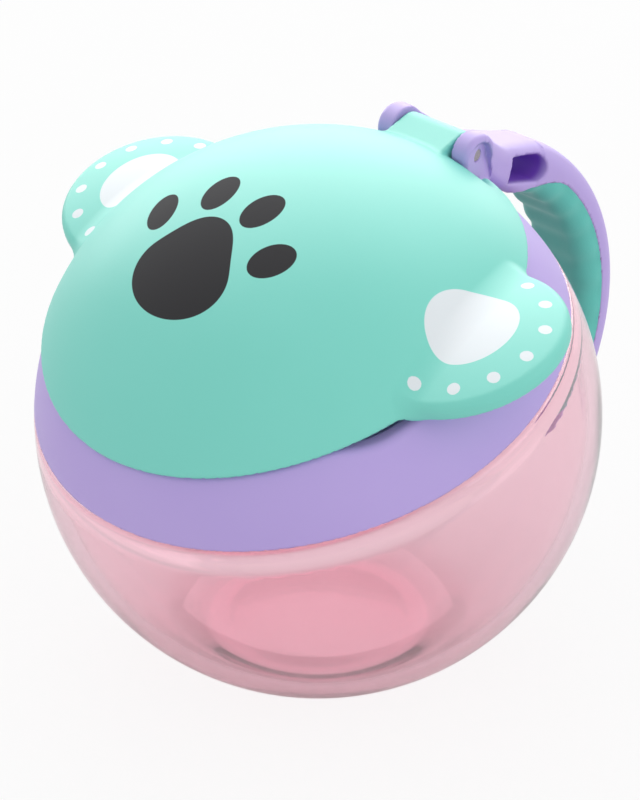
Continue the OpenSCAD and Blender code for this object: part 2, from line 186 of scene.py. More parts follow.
# ---- Bowl: one clear rose moulding of tough polyester -------------------------------------------
# A ball of even wall, cut level below for its base and at a forward lean above, where a short neck
# carries the screw thread. It is injection moulded and polished, with rounded edges throughout.
MOUTH_TILT = math.radians(18)
BOWL_WALL = 2.4
FLOOR_T = 2.6
SHOULDER_Z = 13.4
NECK_TOP = SHOULDER_Z + 7
NECK_R = 36.8
NECK_WALL = 2.2
THREAD_PITCH = 5.0
THREAD_RISE = 0.25
THREAD_CREST = 0.35
THREAD_Z, THREAD_REACH = SHOULDER_Z + 3.9, 2.2
BORE_LOW = SHOULDER_Z - 6
HOLLOW_ROUND, FLOOR_ROUND = 3.0, 5.0


def to_mouth(x, y, z):
    """Upright coordinates from the ball's centre as coordinates along the leaning mouth."""
    return (x, y * math.cos(MOUTH_TILT) + z * math.sin(MOUTH_TILT),
            z * math.cos(MOUTH_TILT) - y * math.sin(MOUTH_TILT))


def join(a, b, fillet=0.0):
    """Both shapes together, with a round fillet in the corner between them."""
    if not fillet:
        return np.minimum(a, b)
    inner = np.hypot(np.maximum(fillet - a, 0), np.maximum(fillet - b, 0))
    return np.maximum(fillet, np.minimum(a, b)) - inner


def common(a, b, edge=0.0):
    """What both shapes hold, with a round edge where their surfaces meet."""
    return -join(-a, -b, edge)


def cut(a, b, edge=0.0):
    """Shape a less shape b, with a round edge along the cut."""
    return -join(-a, b, edge)


def ball(x, y, z, r):
    """Distance outside a ball of radius r."""
    return np.sqrt(x * x + y * y + z * z) - r


def net(field, low, high, cell):
    """Wraps the zero level of a field of distances in even quads, with the outward normals."""
    low = np.array(low, float)
    count = np.ceil((np.array(high) - low) / cell).astype(int) + 1
    x, y, z = (low[a] + cell * np.arange(count[a]) for a in range(3))
    value = np.stack([field(px, y[:, None], z[None, :]) for px in x]).astype(np.float32)
    inside = value < 0
    steps = np.eye(3, dtype=int)
    cells, points, rings = [], [], []
    for a, b, c in ((0, 1, 2), (1, 2, 0), (2, 0, 1)):
        near = tuple(slice(0, -1) if i == a else slice(None) for i in range(3))
        past = tuple(slice(1, None) if i == a else slice(None) for i in range(3))
        at = np.argwhere(inside[near] != inside[past])
        first = value[tuple(at.T)]
        second = value[tuple((at + steps[a]).T)]
        crossing = at + (first / (first - second))[:, None] * steps[a]
        around = np.stack([at, at - steps[b], at - steps[b] - steps[c], at - steps[c]], 1)
        around[first > 0] = around[first > 0][:, ::-1]
        ids = np.ravel_multi_index(tuple(around.reshape(-1, 3).T), tuple(count))
        cells.append(ids)
        points.append(np.repeat(crossing, 4, 0))
        rings.append(ids.reshape(-1, 4))
    names, index = np.unique(np.concatenate(cells), return_inverse=True)
    points = np.concatenate(points)
    share = np.bincount(index)
    corners = np.stack([np.bincount(index, points[:, a]) / share for a in range(3)], 1) * cell + low
    quads = np.searchsorted(names, np.concatenate(rings))
    edges = np.concatenate([quads[:, [0, 1]], quads[:, [1, 2]], quads[:, [2, 3]], quads[:, [3, 0]]])
    step_size = 0.02

    def slope(p):
        """The field's gradient at points p, by small steps to each side."""
        sides = [[field(*(p + s * step_size * step).T) for s in (1, -1)] for step in steps]
        return np.stack([(up - down) / (2 * step_size) for up, down in sides], 1)

    # Each round spreads the corners evenly along the surface and then draws them back onto it
    near_count = np.bincount(edges[:, 0], minlength=len(corners))[:, None]
    for ease in (0.5, 0.5, 0.3, 0.0):
        middle = np.stack([np.bincount(edges[:, 0], corners[edges[:, 1], a], len(corners))
                           for a in range(3)], 1) / near_count
        way = slope(corners)
        way /= np.linalg.norm(way, axis=1)[:, None]
        drift = middle - corners
        corners = corners + ease * (drift - (drift * way).sum(1)[:, None] * way)
        for _ in range(2):
            way = slope(corners)
            off = field(*corners.T) / np.maximum((way * way).sum(1), 0.2)
            corners = corners - np.clip(off, -cell, cell)[:, None] * way
    way = slope(corners)
    return corners, quads, way / np.linalg.norm(way, axis=1)[:, None]


def moulded(name, node, field, cell, material):
    """A smooth closed piece whose surface is where field is zero, in place of a CAD node."""
    low, high = (np.array(corner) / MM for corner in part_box(node))
    margin = 3 * cell
    corners, quads, normals = net(field, low - margin, high + margin, cell)
    mesh = bpy.data.meshes.new(name)
    mesh.from_pydata(corners * MM, [], quads.tolist())
    mesh.shade_smooth()
    mesh.normals_split_custom_set_from_vertices(normals)
    mesh.materials.append(material)
    made = bpy.data.objects.new(name, mesh)
    scene.collection.objects.link(made)
    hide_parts(node)
    return made


def bowl_field(x, y, z):
    """The bowl's walls, in the upright frame of the whole cup."""
    z = z - ball_z
    mx, my, mz = to_mouth(x, y, z)
    rim = np.hypot(mx, my)
    turn_at = np.arctan2(my, mx) / (2 * math.pi)
    climb = np.mod(mz - THREAD_PITCH * turn_at - SHOULDER_Z, THREAD_PITCH) - THREAD_PITCH / 2
    ridge = np.hypot(np.maximum(np.abs(climb) - THREAD_CREST, 0), np.maximum(rim - NECK_R, 0))
    thread = common(ridge - THREAD_RISE, np.abs(mz - THREAD_Z) - THREAD_REACH, 0.2)
    outside = common(ball(x, y, z, ball_r), mz - SHOULDER_Z, 0.7)
    outside = common(outside, -z - ball_z, 1.0)
    neck = common(rim - NECK_R, np.maximum(mz - NECK_TOP, -mz), 0.6)
    outside = join(join(outside, neck, 0.4), thread, 0.1)
    hollow = common(ball(x, y, z, ball_r - BOWL_WALL), mz - SHOULDER_Z + BOWL_WALL, HOLLOW_ROUND)
    hollow = common(hollow, -z - ball_z + FLOOR_T, FLOOR_ROUND)
    bore = common(rim - NECK_R + NECK_WALL, BORE_LOW - mz)
    return cut(outside, join(hollow, bore, 1.2), 0.5)


# Clear moulded polyester: gloss on both faces, and a rose tint that deepens with the wall's depth
rose = bpy.data.materials.new("clear_rose_polyester_polished")
rose.use_nodes = True
rose.node_tree.nodes.clear()
place = add(rose.node_tree, "ShaderNodeTexCoord")
wave = add(rose.node_tree, "ShaderNodeTexNoise", {
    "Vector": place.outputs["Object"], "Scale": 55.0, "Detail": 1.0})
ripple = add(rose.node_tree, "ShaderNodeBump", {"Height": wave.outputs[0], "Strength": 0.12,
                                                "Distance": 0.0006})
clear = add(rose.node_tree, "ShaderNodeBsdfPrincipled", {
    "Base Color": linear("#FFF4F6"), "Roughness": 0.03, "IOR": 1.52, "Transmission Weight": 1.0,
    "Normal": ripple.outputs[0]})
through = add(rose.node_tree, "ShaderNodeBsdfTransparent", {"Color": linear("#F6DDE3")})
lamp_ray = add(rose.node_tree, "ShaderNodeLightPath")
shell = add(rose.node_tree, "ShaderNodeMixShader", {0: lamp_ray.outputs["Is Shadow Ray"],
                                                    1: clear.outputs[0], 2: through.outputs[0]})
tint = add(rose.node_tree, "ShaderNodeVolumeAbsorption", {"Color": (0.93, 0.22, 0.48, 1),
                                                          "Density": 58.0})
add(rose.node_tree, "ShaderNodeOutputMaterial", {"Surface": shell.outputs[0],
                                                 "Volume": tint.outputs[0]})

bowl = moulded("bowl_shell", "bowl", bowl_field, 0.77, rose)
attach(bowl, "bowl")

# ---- Flap ring: a soft ring of thermoplastic elastomer ------------------------------------------
# It lies on the neck under the collar's deck and seals it, and its lip fills the deck's opening.
# It is moulded in one with the flaps, which are pieces of their own here because each one bends.
FLANGE_LOW = NECK_TOP + 0.1
FLANGE_T = 1.5
FLANGE_R = 36.0
DECK_TOP = FLANGE_LOW + FLANGE_T + 0.1 + 1.9
MOUTH_R = 30.5
LIP_R = MOUTH_R - 0.15
LIP_WALL = 2.0
LIP_TOP = DECK_TOP + 0.6
FLAP_COUNT = 8
FLAP_T = 1.2
RING_OPENING = 26.45


def flap_ring_field(x, y, z):
    """The ring's flange, lip and eight-sided opening."""
    x, y, z = to_mouth(x, y, z - ball_z)
    rim = np.hypot(x, y)
    flange = common(rim - FLANGE_R, np.abs(z - FLANGE_LOW - FLANGE_T / 2) - FLANGE_T / 2, 0.4)
    lip = common(np.abs(rim - LIP_R + LIP_WALL / 2) - LIP_WALL / 2,
                 np.maximum(z - LIP_TOP, FLANGE_LOW + 0.2 - z), 0.6)
    sector = 2 * math.pi / FLAP_COUNT
    bearing = np.mod(np.arctan2(y, x) + sector / 2, sector) - sector / 2
    return cut(join(flange, lip, 0.8), rim * np.cos(bearing) - RING_OPENING, 0.35)


# Milky elastomer: a soft satin skin that lets light in a little way, with fine mould grain
milky = bpy.data.materials.new("milky_elastomer_satin")
milky.use_nodes = True
milky.node_tree.nodes.clear()
place = add(milky.node_tree, "ShaderNodeTexCoord")
grain = add(milky.node_tree, "ShaderNodeTexNoise", {
    "Vector": place.outputs["Object"], "Scale": 2500.0, "Detail": 3.0})
cloud = add(milky.node_tree, "ShaderNodeTexNoise", {
    "Vector": place.outputs["Object"], "Scale": 90.0})
shade = add(milky.node_tree, "ShaderNodeMix", {0: cloud.outputs[0], 6: linear("#DDE6E6"),
                                               7: linear("#E9F0EE")}, data_type="RGBA")
pores = add(milky.node_tree, "ShaderNodeBump", {"Height": grain.outputs[0], "Strength": 0.15,
                                                "Distance": 0.0001})
skin = add(milky.node_tree, "ShaderNodeBsdfPrincipled", {
    "Base Color": shade.outputs[2], "Roughness": 0.48, "IOR": 1.45, "Subsurface Weight": 0.4,
    "Subsurface Radius": (0.003, 0.003, 0.003), "Normal": pores.outputs[0]})
add(milky.node_tree, "ShaderNodeOutputMaterial", {"Surface": skin.outputs[0]})

flap_ring = moulded("soft_ring", "flap_ring", flap_ring_field, 0.55, milky)
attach(flap_ring, "flap_ring")

# ---- Flaps: eight soft wedges of the ring's own moulding ----------------------------------------
# Each runs from the ring's opening to a small eye in the middle, with a slit on each side, and all
# its free edges are rounded. It leaves the ring in one skin and bends close to it.
SLIT_W = 0.5
EYE_R = 1.8
FLAP_RIM = 27.2
FLAP_EDGE = 0.55
FLAP_THINNING = 0.9
FLAP_Z = FLANGE_LOW + FLAP_T / 2

flap_tree = bpy.data.node_groups.new("soft_flap", "GeometryNodeTree")
flap_tree.interface.new_socket("Geometry", in_out="OUTPUT", socket_type="NodeSocketGeometry")
for label in ("Half sector", "Half slit", "Eye", "Rim", "Thickness", "Edge"):
    flap_tree.interface.new_socket(label, in_out="INPUT", socket_type="NodeSocketFloat")
flap_tree.interface.new_socket("Turn", in_out="INPUT", socket_type="NodeSocketRotation")
flap_tree.interface.new_socket("Middle", in_out="INPUT", socket_type="NodeSocketVector")
flap_tree.interface.new_socket("Material", in_out="INPUT", socket_type="NodeSocketMaterial")

given = add(flap_tree, "NodeGroupInput").outputs
block = add(flap_tree, "GeometryNodeMeshCube", {"Vertices X": 44, "Vertices Y": 40,
                                                "Vertices Z": 4})
position = add(flap_tree, "GeometryNodeInputPosition")
spot = add(flap_tree, "ShaderNodeSeparateXYZ", {0: position.outputs[0]})
# X becomes the way out from the eye and Y the way round, with more rows towards the edges
out = add(flap_tree, "ShaderNodeMath", {0: spot.outputs["X"], 1: math.pi}, operation="MULTIPLY")
out = add(flap_tree, "ShaderNodeMath", {0: out.outputs[0]}, operation="SINE")
out = add(flap_tree, "ShaderNodeMath", {0: out.outputs[0], 1: 0.5, 2: 0.5},
          operation="MULTIPLY_ADD")
side = add(flap_tree, "ShaderNodeMath", {0: spot.outputs["Y"], 1: math.pi}, operation="MULTIPLY")
side = add(flap_tree, "ShaderNodeMath", {0: side.outputs[0]}, operation="SINE")
lean = add(flap_tree, "ShaderNodeMath", {0: side.outputs[0], 1: given["Half sector"]},
           operation="MULTIPLY")
lean = add(flap_tree, "ShaderNodeMath", {0: lean.outputs[0]}, operation="COSINE")
span = add(flap_tree, "ShaderNodeMath", {0: given["Rim"], 1: lean.outputs[0]}, operation="DIVIDE")
span = add(flap_tree, "ShaderNodeMath", {0: span.outputs[0], 1: given["Eye"]}, operation="SUBTRACT")
span = add(flap_tree, "ShaderNodeMath", {0: span.outputs[0], 1: out.outputs[0]},
           operation="MULTIPLY")
radius = add(flap_tree, "ShaderNodeMath", {0: span.outputs[0], 1: given["Eye"]}, operation="ADD")
spread = add(flap_tree, "ShaderNodeMath", {0: given["Half slit"], 1: radius.outputs[0]},
             operation="DIVIDE")
spread = add(flap_tree, "ShaderNodeMath", {0: given["Half sector"], 1: spread.outputs[0]},
             operation="SUBTRACT")
bearing = add(flap_tree, "ShaderNodeMath", {0: side.outputs[0], 1: spread.outputs[0]},
              operation="MULTIPLY")
# Z becomes the thickness, which is rounded away near the slits and the eye
beside = add(flap_tree, "ShaderNodeMath", {0: side.outputs[0]}, operation="ABSOLUTE")
beside = add(flap_tree, "ShaderNodeMath", {0: 1.0, 1: beside.outputs[0]}, operation="SUBTRACT")
beside = add(flap_tree, "ShaderNodeMath", {0: beside.outputs[0], 1: spread.outputs[0]},
             operation="MULTIPLY")
beside = add(flap_tree, "ShaderNodeMath", {0: beside.outputs[0], 1: radius.outputs[0]},
             operation="MULTIPLY")
inward = add(flap_tree, "ShaderNodeMath", {0: beside.outputs[0], 1: span.outputs[0]},
             operation="MINIMUM")
inward = add(flap_tree, "ShaderNodeMath", {0: inward.outputs[0], 1: given["Edge"]},
             operation="DIVIDE")
inward = add(flap_tree, "ShaderNodeMath", {0: inward.outputs[0], 1: FLAP_THINNING},
             operation="MINIMUM")
bevel = add(flap_tree, "ShaderNodeMath", {0: FLAP_THINNING, 1: inward.outputs[0]},
            operation="SUBTRACT")
bevel = add(flap_tree, "ShaderNodeMath", {0: bevel.outputs[0], 1: 2.0}, operation="POWER")
bevel = add(flap_tree, "ShaderNodeMath", {0: 1.0, 1: bevel.outputs[0]}, operation="SUBTRACT")
bevel = add(flap_tree, "ShaderNodeMath", {0: bevel.outputs[0]}, operation="SQRT")
level = add(flap_tree, "ShaderNodeMath", {0: spot.outputs["Z"], 1: bevel.outputs[0]},
            operation="MULTIPLY")
level = add(flap_tree, "ShaderNodeMath", {0: level.outputs[0], 1: given["Thickness"]},
            operation="MULTIPLY")
flat = add(flap_tree, "ShaderNodeCombineXYZ", {0: radius.outputs[0]})
turned_flat = add(flap_tree, "ShaderNodeVectorRotate", {
    "Vector": flat.outputs[0], "Angle": bearing.outputs[0]}, rotation_type="Z_AXIS")
raised = add(flap_tree, "ShaderNodeCombineXYZ", {2: level.outputs[0]})
shaped = add(flap_tree, "ShaderNodeVectorMath", {0: turned_flat.outputs[0], 1: raised.outputs[0]},
             operation="ADD")
wedge = add(flap_tree, "GeometryNodeSetPosition", {"Geometry": block.outputs["Mesh"],
                                                   "Position": shaped.outputs[0]})
laid = add(flap_tree, "GeometryNodeTransform", {
    "Geometry": wedge.outputs[0], "Translation": given["Middle"], "Rotation": given["Turn"]})
whole = add(flap_tree, "GeometryNodeRealizeInstances", {0: laid.outputs[0]})
named = add(flap_tree, "GeometryNodeSetMaterial", {"Geometry": whole.outputs[0],
                                                   "Material": given["Material"]})
add(flap_tree, "NodeGroupOutput", {0: named.outputs[0]})


def flap_point(number, radius):
    """A point of a flap's middle line, in the row frame."""
    at = 2 * math.pi * (number - 1) / FLAP_COUNT
    point = Vector((radius * math.cos(at), radius * math.sin(at), FLAP_Z))
    return (Matrix.Rotation(MOUTH_TILT, 3, "X") @ point + Vector((0, 0, ball_z))) * MM


def soft_flap(number):
    """One flap at its own bearing, built flat; the real flap bends where it leaves the ring."""
    carrier = bpy.data.objects.new(f"flap_carrier_{number}", bpy.data.meshes.new("empty"))
    scene.collection.objects.link(carrier)
    grown = carrier.modifiers.new("soft_flap", "NODES")
    grown.node_group = flap_tree
    turned_by = Matrix.Rotation(MOUTH_TILT, 3, "X") @ Matrix.Rotation(
        2 * math.pi * (number - 1) / FLAP_COUNT, 3, "Z")
    values = {"Half sector": math.pi / FLAP_COUNT, "Half slit": SLIT_W / 2 * MM, "Eye": EYE_R * MM,
              "Rim": FLAP_RIM * MM, "Thickness": (FLAP_T - 0.1) * MM, "Edge": FLAP_EDGE * MM,
              "Turn": tuple(turned_by.to_euler()), "Middle": tuple(flap_point(number, 0.0)),
              "Material": milky}
    for item in flap_tree.interface.items_tree:
        if item.in_out == "INPUT":
            grown[item.identifier] = values[item.name]
    bpy.context.view_layer.update()
    evaluated = carrier.evaluated_get(bpy.context.evaluated_depsgraph_get())
    mesh = bpy.data.meshes.new_from_object(evaluated)
    bpy.data.objects.remove(carrier)
    mesh.shade_smooth()
    flap = bpy.data.objects.new(f"soft_flap_{number}", mesh)
    scene.collection.objects.link(flap)
    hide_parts(f"flap_{number}")
    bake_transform(flap)


for flap_number in range(1, FLAP_COUNT + 1):
    soft_flap(flap_number)

# ---- Collar: one moulding of lavender polypropylene ---------------------------------------------
# The screw ring follows the bowl's ball, and its upper edge dips at the front and back. Behind it
# stand two knuckles for the hinge, which run on as the carrying handle's bar with its strap slot.
# The ring: its edge is highest at the sides, and two finger scoops open its well towards the front
RIM_SIDE_Z = 26.4
RIM_FRONT_Z = 24.0
SEAM_GAP = 0.3
NECK_GAP = 0.35
DECK_LOW = FLANGE_LOW + FLANGE_T + 0.1
WELL_R = 36.0
SCOOP_R = 20.0
SCOOP_Z = RIM_SIDE_Z + SCOOP_R - 2.0
SCOOP_BEARING = math.radians(23)
COVER_R = ball_r + 1
RIM_GAP = 0.3
# The bar: W is across, T thick, L along from the hinge and ROUND a corner. TIP_SIDE is an angle
# past which a place round the bend's middle belongs to the bar's free end.
BAR_W, BAR_T, BAR_ROUND = 13.0, 8.4, 3.2
FINGER_ROOM = 13.1
BEND_R = 32.2
BEND_Y, BEND_Z = ball_r + FINGER_ROOM + BAR_T / 2 - BEND_R, 1.6
BEND_END = math.radians(-38)
TIP_SIDE = 2.6
ROOT_W, HINGE_T = 19.6, 4.4
NARROW_L, NARROW_T = 14.0, 9.4
ROOT_T, ROOT_ROUND, CREST_T = 10.8, 4.2, 4.75
THIN_L = 8.0
SADDLE_LOW, SADDLE_SLOPE = 0.7, 0.22
SADDLE_HALF, SADDLE_EASE = 4.0, 3.6
SHOULDER_FALL = 0.06
HINGE_ROUND, HINGE_ROUND_GROWTH, LOW_ROUND = 1.6, 0.25, 2.0
UNDER_L = 12.0
# The strap slot, the hinge with its knuckles and web, and the recess round the pin's end
SLOT_L, SLOT_H = 9.6, 4.4
SLOT_BEFORE, SLOT_RISE = 4.0, -0.15
SLOT_FALL = math.radians(15)
HINGE_Z = 30.0
HINGE_Y = math.sqrt((ball_r + 2.4)**2 - HINGE_Z**2)
KNUCKLE_R = 3.5
TONGUE_W = 12.4
TONGUE_GAP = 0.3
WEB_X, WEB_Z, WEB_SINK, WEB_FOOT = 7.8, 20.8, 0.9, 1.2
KNUCKLE_GAP = 0.5
PIN_R = 1.0
POCKET_R, POCKET_DEPTH = 2.3, 0.65
POCKET_BEARING = math.radians(-67)
POCKET_SLANT_Y, POCKET_SLANT_Z = 0.25, 0.07
COVER_OPEN = math.radians(135)
OPEN_HALF_L = 8.0
# The grip: from END up to TOP round the bend, DROP below the slot and OUT past the bar's middle
GRIP_TOP = math.radians(74)
GRIP_END = math.radians(-38)
GRIP_DROP = 0.6
GRIP_OUT = 0.9
GRIP_FALL = math.radians(3)
GRIP_WALL = 2.2
GRIP_ROUND = 3.0
GRIP_POCKET = 0.9

# The hinge's axis, the round surface of the ring's edge, and the line from the hinge to the bend
pin_low, pin_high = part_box("hinge_pin")
axis_y = (pin_low.y + pin_high.y) / 2 / MM
axis_z = (pin_low.z + pin_high.z) / 2 / MM - ball_z
rim_y = math.sqrt(ball_r**2 - RIM_FRONT_Z**2)
rim_dip = RIM_SIDE_Z - RIM_FRONT_Z
ARCH_R = (rim_y**2 + rim_dip**2) / (2 * rim_dip)
rim_swing = math.hypot(math.sqrt(COVER_R**2 - (RIM_FRONT_Z + RIM_GAP)**2) - HINGE_Y,
                       HINGE_Z - RIM_FRONT_Z - RIM_GAP)
axis_off = math.hypot(axis_y - BEND_Y, axis_z - BEND_Z)
bend_top = math.atan2(axis_z - BEND_Z, axis_y - BEND_Y) - math.acos(BEND_R / axis_off)
root_len = math.sqrt(axis_off**2 - BEND_R**2)
slot_at = root_len - SLOT_BEFORE
slot_y = axis_y + slot_at * math.sin(bend_top)
slot_z = axis_z - slot_at * math.cos(bend_top) + SLOT_RISE


def below_rim(y, z, lift=0.0):
    """Distance from the wide round surface that dips the ring's edge at the front and back."""
    return np.hypot(y, z - RIM_SIDE_Z + ARCH_R) - ARCH_R - lift


def plate(a, b, half_a, half_b, corner):
    """A rectangle with round corners."""
    a, b = np.abs(a) - half_a + corner, np.abs(b) - half_b + corner
    return np.minimum(np.maximum(a, b), 0) + np.hypot(np.maximum(a, 0), np.maximum(b, 0)) - corner


def turned(y, z, centre_y, centre_z, angle):
    """Coordinates in the side view, along and across a line that rises by angle towards +Y."""
    y, z = y - centre_y, z - centre_z
    return y * math.cos(angle) + z * math.sin(angle), z * math.cos(angle) - y * math.sin(angle)


def soft_least(a, b, width):
    """The lesser of two values, eased where they are close."""
    h = np.clip(0.5 + 0.5 * (b - a) / width, 0, 1)
    return b + (a - b) * h - width * h * (1 - h)


def around_bend(y, z):
    """The bend's own coordinates: depth outward from the bar's middle, and the angle up from +Y."""
    y, z = y - BEND_Y, z - BEND_Z
    return np.hypot(y, z) - BEND_R, np.arctan2(z, y)


def bend_field(x, y, z):
    """The bar's bend with its round free end, past which it is turned about its thickness."""
    depth, angle = around_bend(y, z)
    past_end, across = turned(y, z, BEND_Y, BEND_Z, BEND_END - math.pi / 2)
    across = across - BEND_R
    section = plate(depth, x, BAR_T / 2, BAR_W / 2, BAR_ROUND)
    tip = plate(np.hypot(across, np.maximum(past_end, 0)), x, BAR_T / 2, BAR_W / 2, BAR_ROUND)
    return np.where((angle < BEND_END) | (angle > TIP_SIDE), tip, section)


def bar_field(x, y, z):
    """The whole bar: a root that narrows and thickens from the hinge, and the bend."""
    before = (z - BEND_Z) * math.cos(bend_top) - (y - BEND_Y) * math.sin(bend_top)
    out = (y - BEND_Y) * math.cos(bend_top) + (z - BEND_Z) * math.sin(bend_top) - BEND_R
    depth, angle = around_bend(y, z)
    along = root_len - np.where(before > 0, before, BEND_R * (angle - bend_top))
    depth = np.where(before > 0, out, depth)
    past = (along - root_len) / THIN_L
    half_w = BAR_W / 2 - soft_least((along / NARROW_L - 1) * (ROOT_W - BAR_W) / 2, 0.0, 1.0)

    # The underside: thin at the hinge, thick at the root's end, and level with the bend past it
    low_hinge = HINGE_T / 2 + (NARROW_T - HINGE_T) / 2 * along / NARROW_L
    low_root = NARROW_T / 2 + (ROOT_T - NARROW_T) / 2 * (along - NARROW_L) / (root_len - NARROW_L)
    low_bend = -soft_least((ROOT_T - BAR_T) / 2 * past - ROOT_T / 2, -BAR_T / 2, 0.3)
    low_t = soft_least(soft_least(low_hinge, low_root, 0.6), low_bend, 0.6)

    # The upper side: a low saddle between two shoulders at the hinge, and a crest at the root's end
    middle = -soft_least(SADDLE_LOW - HINGE_T / 2, SADDLE_SLOPE * (root_len - along) - CREST_T, 1.6)
    shoulder = np.clip((np.abs(x) - SADDLE_HALF) / SADDLE_EASE, 0, 1)
    rise = np.maximum(KNUCKLE_R - 0.05 - SHOULDER_FALL * along - middle, 0)
    top_root = middle + rise * shoulder**2 * (3 - 2 * shoulder)
    top_bend = -soft_least((CREST_T - BAR_T / 2) * past - CREST_T, -BAR_T / 2, 0.3)
    top_t = soft_least(top_root, top_bend, 0.6)

    half_t, shift = (top_t + low_t) / 2, (top_t - low_t) / 2
    thinned = np.clip(past, 0, 1)
    top_round = soft_least(HINGE_ROUND + HINGE_ROUND_GROWTH * along, ROOT_ROUND - thinned, 0.6)
    corner = np.where(depth > shift, top_round, LOW_ROUND + (BAR_ROUND - LOW_ROUND) * thinned)
    sweep = plate(depth - shift, x, half_t, half_w, np.minimum(corner, half_t - 0.3))
    sweep = np.maximum(sweep, -along)
    tail = bend_field(x, y, z)
    beyond = along - root_len - THIN_L
    under = np.maximum(tail, np.maximum(before - UNDER_L, -beyond - THIN_L))
    return join(np.where(beyond > 0, tail, sweep), under, 0.8)


def grip_region(x, y, z, swell=0.0):
    """The space of the soft grip: the bend's inner side below the slot, less the bar's core."""
    depth, angle = around_bend(y, z)
    inner_r = BEND_R - 3
    low_end = (GRIP_END - angle) * inner_r
    top_end = (angle - GRIP_TOP) * inner_r
    over = turned(y, z, slot_y, slot_z, -GRIP_FALL)[1] + SLOT_H / 2 + GRIP_DROP
    patch = common(common(depth - GRIP_OUT, low_end, GRIP_ROUND), over, GRIP_ROUND)
    patch = np.maximum(patch, top_end) - swell
    core = common(-depth - BAR_T / 2 + GRIP_WALL, np.abs(x) - BAR_W / 2 + GRIP_WALL) + swell
    return cut(patch, core)


def web_field(x, y, z):
    """The web that carries the knuckles on the ring, along the leaning mouth."""
    low_y = math.sqrt(ball_r**2 - WEB_X**2 - WEB_Z**2) - WEB_SINK
    run_y, run_z = low_y - HINGE_Y, WEB_Z - HINGE_Z
    share = np.clip(((y - HINGE_Y) * run_y + (z - HINGE_Z) * run_z) / (run_y**2 + run_z**2), 0, 1)
    thick = KNUCKLE_R - 0.2 + (WEB_FOOT - KNUCKLE_R) * share
    side = np.hypot(y - HINGE_Y - run_y * share, z - HINGE_Z - run_z * share) - thick
    return common(side, np.abs(x) - ROOT_W / 2 + (ROOT_W / 2 - WEB_X) * share, 0.8)


def collar_ring_field(x, y, z):
    """The screw ring, along the leaning mouth."""
    rim = np.hypot(x, y)
    ring = common(ball(x, y, z, ball_r), SHOULDER_Z + SEAM_GAP - z, 0.5)
    ring = common(ring, below_rim(y, z), 0.6)
    ring = cut(ring, common(rim - NECK_R - NECK_GAP, z - DECK_LOW))
    ring = cut(ring, rim - MOUTH_R, 0.5)
    ring = cut(ring, common(rim - WELL_R, DECK_TOP - z), 0.4)
    for side in (-1, 1):
        out_x, out_y = side * math.cos(SCOOP_BEARING), -math.sin(SCOOP_BEARING)
        across = x * out_y - y * out_x
        scoop = np.hypot(across, z - SCOOP_Z) - SCOOP_R
        ring = cut(ring, common(scoop, WELL_R - x * out_x - y * out_y), 0.8)
    return ring


def knuckle_pad(x, y, z, gap=0.0):
    """The web's front under each knuckle, which is let into the dome's edge."""
    slab = np.maximum(np.abs(x) - ROOT_W / 2, TONGUE_W / 2 + 0.1 - np.abs(x)) - gap
    return np.maximum(np.maximum(slab, -ball(x, y, z, ball_r - gap)), np.maximum(z - HINGE_Z, -y))


def cover_room(x, y, z):
    """Room for the shut cover, and for its rim behind the hinge as it swings."""
    swing = common(np.hypot(y - HINGE_Y, z - HINGE_Z) - rim_swing - RIM_GAP,
                   np.abs(x) - ROOT_W / 2 - 2)
    room = common(ball(x, y, z, COVER_R + RIM_GAP), join(-below_rim(y, z), swing))
    return cut(room, knuckle_pad(x, y, z))


def pin_pocket(x, y, z):
    """The slanting recess in each knuckle's side that the pin is driven from."""
    slant = POCKET_SLANT_Y * (y - axis_y) + POCKET_SLANT_Z * (axis_z - z)
    sink = ROOT_W / 2 - POCKET_DEPTH - slant
    along, off = turned(y, z, axis_y, axis_z, POCKET_BEARING)
    track = np.hypot(np.minimum(along, 0), np.maximum(off, 0)) - POCKET_R
    return common(sink - np.abs(x), track, 0.2)


def strap_slot(y, z):
    """The slot through the bar, square in front and round behind."""
    along, off = turned(y, z, slot_y, slot_z, -SLOT_FALL)
    corner = np.where(along > 0, SLOT_H / 2 - 0.05, 0.6)
    return plate(along, off, SLOT_L / 2, SLOT_H / 2, corner)


def collar_field(x, y, z):
    """The whole collar in the upright frame."""
    z = z - ball_z
    mx, my, mz = to_mouth(x, y, z)
    from_axis = np.hypot(my - HINGE_Y, mz - HINGE_Z)
    knuckles = common(from_axis - KNUCKLE_R, np.abs(x) - ROOT_W / 2, 0.8)
    bar = join(bar_field(x, y, z), web_field(mx, my, mz), 0.8)
    bar = cut(bar, ball(x, y, z, ball_r - 1))
    bar = cut(bar, cover_room(mx, my, mz), 0.3)
    body = cut(join(bar, knuckles, 0.8), pin_pocket(x, y, z), 0.2)
    body = join(collar_ring_field(mx, my, mz), body, 1.3)
    swing_out, swing_off = turned(my, mz, HINGE_Y, HINGE_Z, math.pi - COVER_OPEN)
    open_room = np.maximum(np.abs(swing_out - OPEN_HALF_L) - OPEN_HALF_L,
                           np.abs(swing_off + KNUCKLE_R / 2 + 0.6) - KNUCKLE_R / 2)
    tongue = common(join(from_axis - KNUCKLE_R - KNUCKLE_GAP, open_room, 0.6),
                    np.abs(x) - TONGUE_W / 2 - TONGUE_GAP)
    body = cut(body, tongue, 0.35)
    body = cut(body, from_axis - PIN_R - 0.02, 0.15)
    body = cut(body, strap_slot(y, z), 0.5)
    return cut(body, grip_region(x, y, z, -GRIP_POCKET))


def vertices(mesh):
    """A mesh's vertices in millimetres, upright from the ball's centre."""
    points = np.empty(len(mesh.vertices) * 3)
    mesh.vertices.foreach_get("co", points)
    x, y, z = points.reshape(-1, 3).T / MM
    return x, y, z - ball_z


def mark(mesh, label, value):
    """Stores a number on each vertex, which a material reads."""
    layer = mesh.attributes.new(label, "FLOAT", "POINT")
    layer.data.foreach_set("value", value.astype(np.float32))
